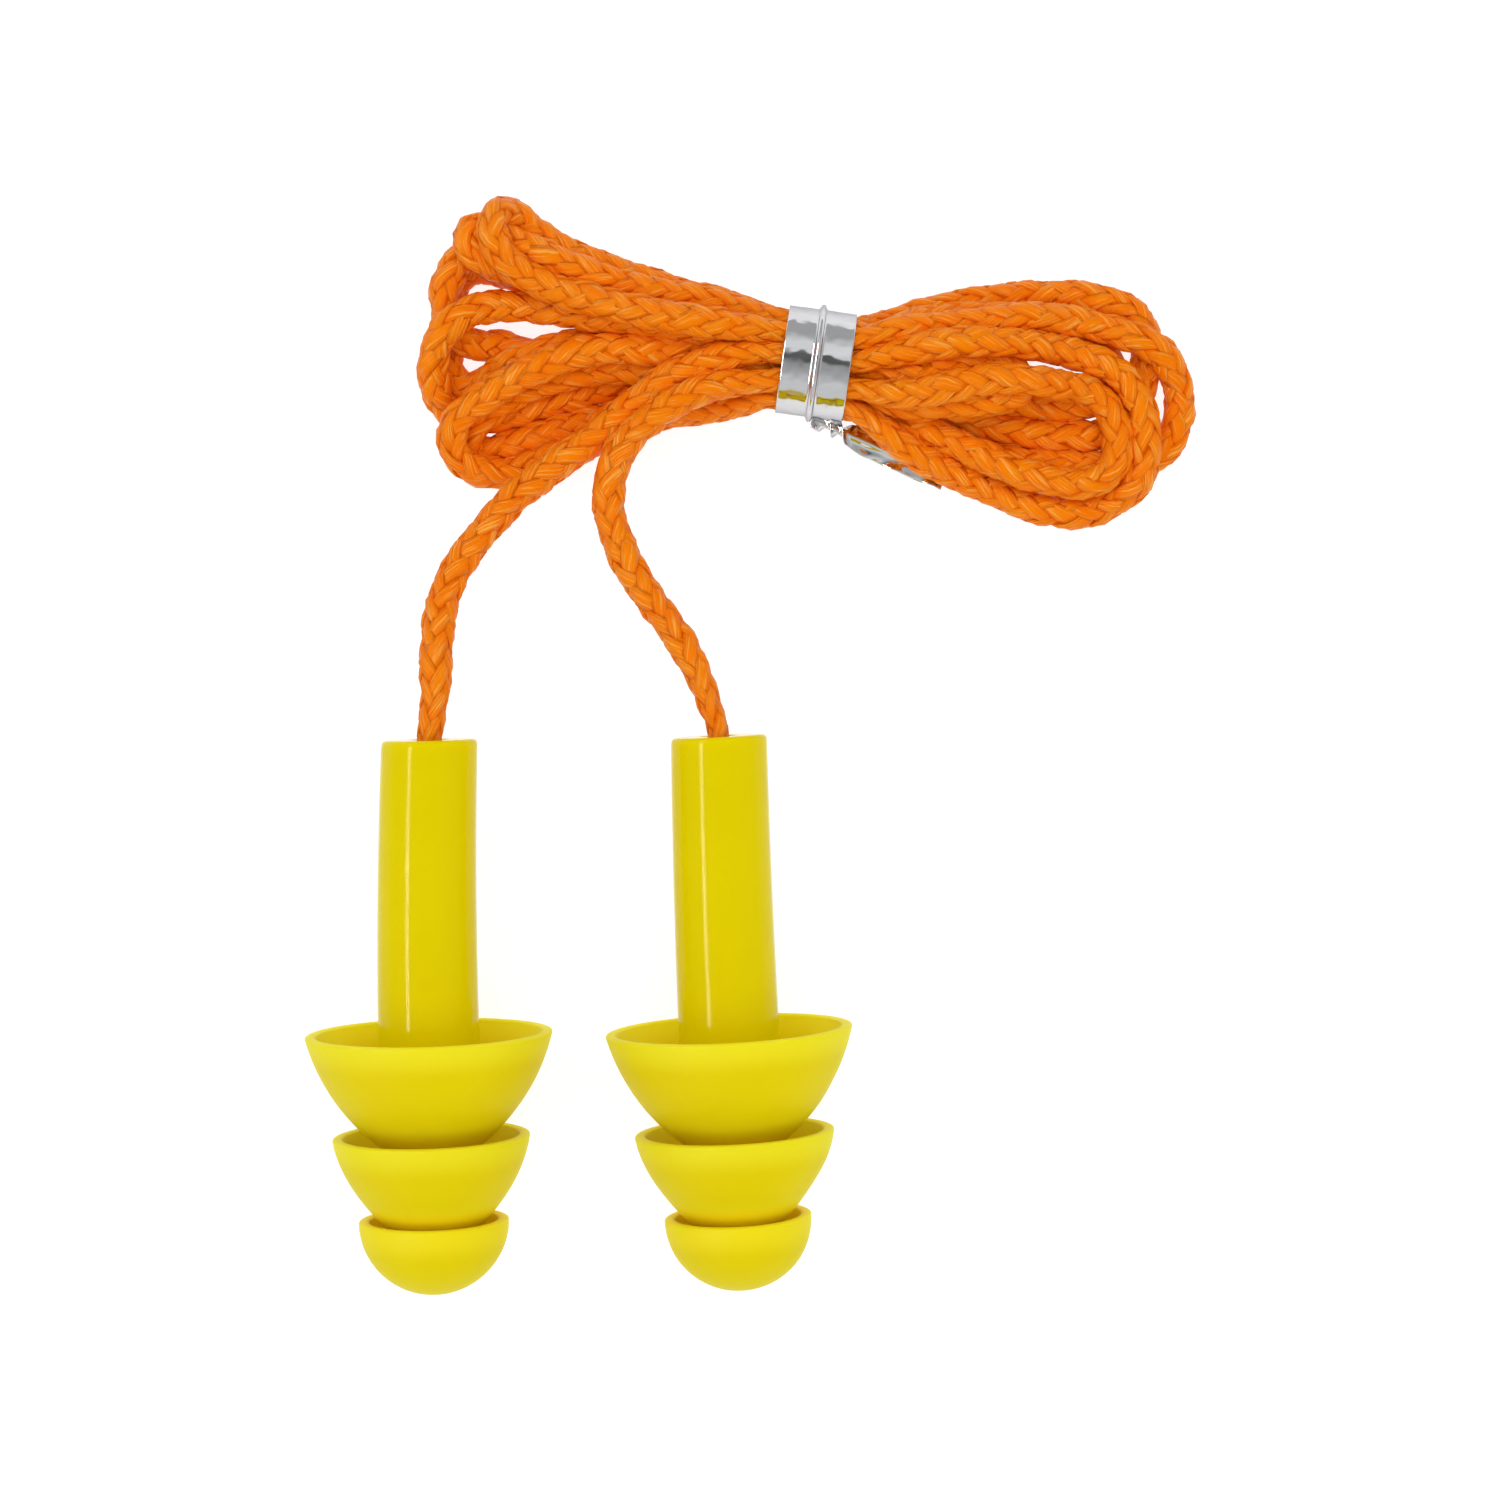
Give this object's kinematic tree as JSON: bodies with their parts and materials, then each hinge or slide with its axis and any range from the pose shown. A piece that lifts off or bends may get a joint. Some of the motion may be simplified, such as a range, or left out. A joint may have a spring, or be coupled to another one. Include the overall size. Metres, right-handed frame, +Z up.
{
  "type": "corded ear plugs",
  "caption": "Soft flanged ear plugs on a braided cord, folded into a hank that a foil twist tie holds, for blocking noise.",
  "frame": {"origin": "on the surface that the plugs lie on, at the middle of the two plugs' common box", "axes": "+Z up, +X from the left plug to the right plug, +Y from the noses to the hank"},
  "size_m": [0.0458, 0.0561, 0.0125],
  "materials": {
    "plug_rubber": "satin",
    "cord_braid": "matte",
    "adhesive": "gloss",
    "tie_foil": "polished",
    "tie_wire": "satin"
  },
  "bodies": {
    "hank": {"cord_hank": "cord_braid", "tie_band": "tie_foil", "tie_wire_loop": "tie_wire"},
    "left_side": {"left_plug": "plug_rubber", "left_adhesive": "adhesive", "left_cord_lead": "cord_braid"},
    "right_side": {"right_plug": "plug_rubber", "right_adhesive": "adhesive", "right_cord_lead": "cord_braid"},
    "tail": {"tie_tail": "tie_foil", "tie_wire_tail": "tie_wire"}
  },
  "joints": [
    {"name": "left_plug_swing", "type": "hinge", "parent": "hank", "child": "left_side", "pos_m": [0.0094, 0.03395, 0.0049], "axis": [0, 0, 1], "range_deg": [-30, 1]},
    {"name": "right_plug_swing", "type": "hinge", "parent": "hank", "child": "right_side", "pos_m": [0.0094, 0.0324, 0.00495], "axis": [0, 0, 1], "range_deg": [-1, 40]},
    {"name": "tie_tail_bend", "type": "hinge", "parent": "hank", "child": "tail", "pos_m": [0.0124, 0.02995, 0.0015], "axis": [0, 0, 1], "range_deg": [-60, 0]}
  ]
}
